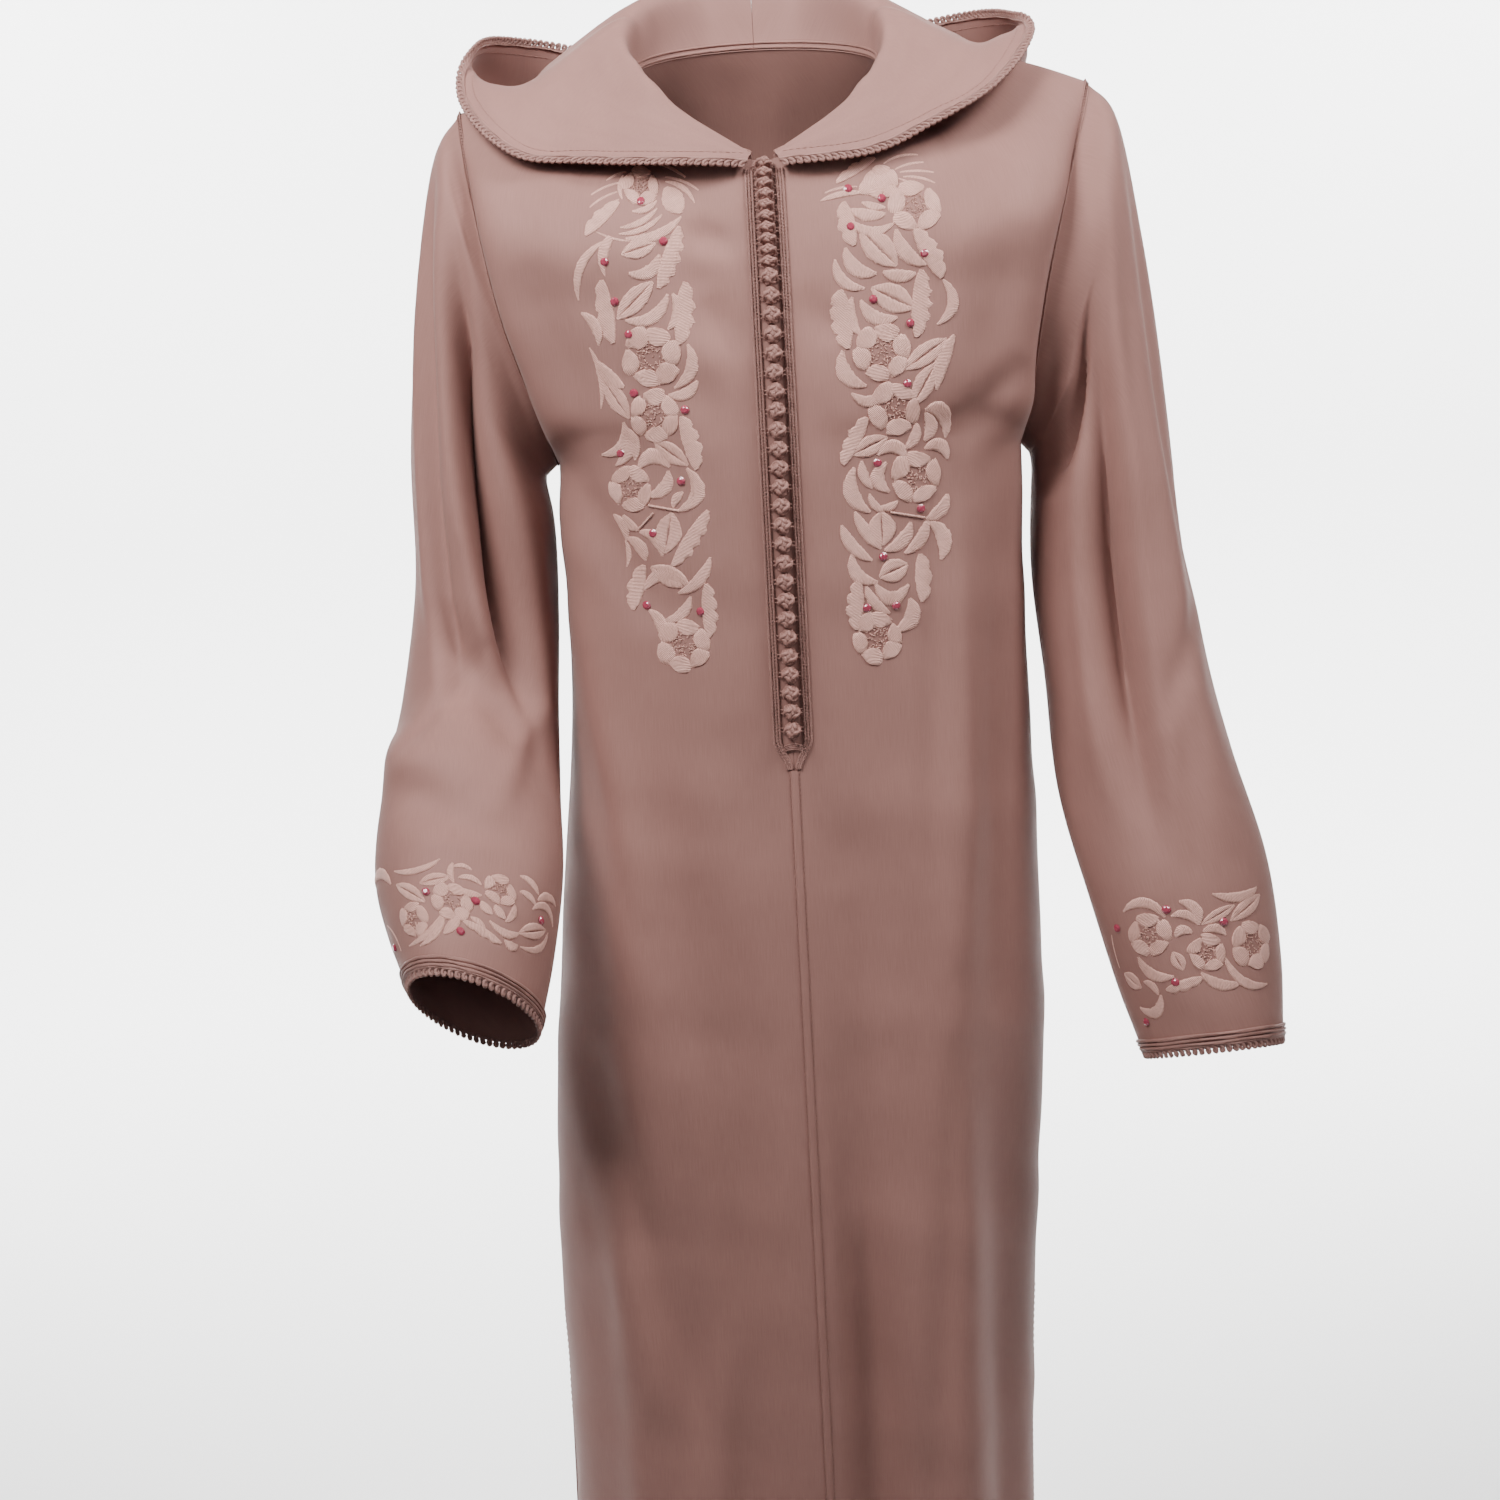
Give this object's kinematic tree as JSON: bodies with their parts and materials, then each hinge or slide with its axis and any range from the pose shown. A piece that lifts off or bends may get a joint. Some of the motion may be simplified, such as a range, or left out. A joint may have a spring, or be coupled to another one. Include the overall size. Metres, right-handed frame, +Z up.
{
  "type": "djellaba robe",
  "caption": "Long hooded robe, worn and hollow, with long sleeves, a buttoned front slit edged with braid, side slits and the hood thrown back.",
  "frame": {"origin": "between the shoulders, level with the middle of the shoulder seams, where the wearer's shoulders hold the robe", "axes": "+Z up; the robe faces -Y; +X is the wearer's left"},
  "size_m": [0.596, 0.3967, 1.4643],
  "materials": {
    "robe_cloth": "smooth dusty mauve crepe, fine plain weave, soft sheen",
    "hood_cloth": "the same crepe, lit from above, its inner side showing",
    "braid": "flat braid of twisted silky thread",
    "loop_trim": "small loops of twisted silky cord",
    "button_thread": "ball knots of silky thread"
  },
  "bodies": {
    "root": {"front_right": "robe_cloth", "front_left": "robe_cloth", "back": "robe_cloth", "sleeve_right": "robe_cloth", "sleeve_left": "robe_cloth", "front_tuck": "robe_cloth", "hood_right": "hood_cloth", "hood_left": "hood_cloth", "sfifa_right": "braid", "sfifa_left": "braid", "cuff_band_right": "braid", "cuff_band_left": "braid", "hood_loops_right": "loop_trim", "hood_loops_left": "loop_trim", "cuff_loops_right": "loop_trim", "cuff_loops_left": "loop_trim", "aakad_01": "button_thread", "aakad_02": "button_thread", "aakad_03": "button_thread", "aakad_04": "button_thread", "aakad_05": "button_thread", "aakad_06": "button_thread", "aakad_07": "button_thread", "aakad_08": "button_thread", "aakad_09": "button_thread", "aakad_10": "button_thread", "aakad_11": "button_thread", "aakad_12": "button_thread", "aakad_13": "button_thread", "aakad_14": "button_thread", "aakad_15": "button_thread", "aakad_16": "button_thread", "aakad_17": "button_thread", "aakad_18": "button_thread", "aakad_19": "button_thread", "aakad_20": "button_thread", "aakad_21": "button_thread", "aakad_22": "button_thread", "aakad_23": "button_thread", "aakad_24": "button_thread", "aakad_25": "button_thread", "aakad_26": "button_thread", "aakad_27": "button_thread", "aakad_28": "button_thread", "aakad_29": "button_thread", "aakad_30": "button_thread", "aakad_31": "button_thread", "aakad_32": "button_thread", "aakad_33": "button_thread", "aakad_34": "button_thread", "aakad_35": "button_thread"}
  },
  "joints": []
}
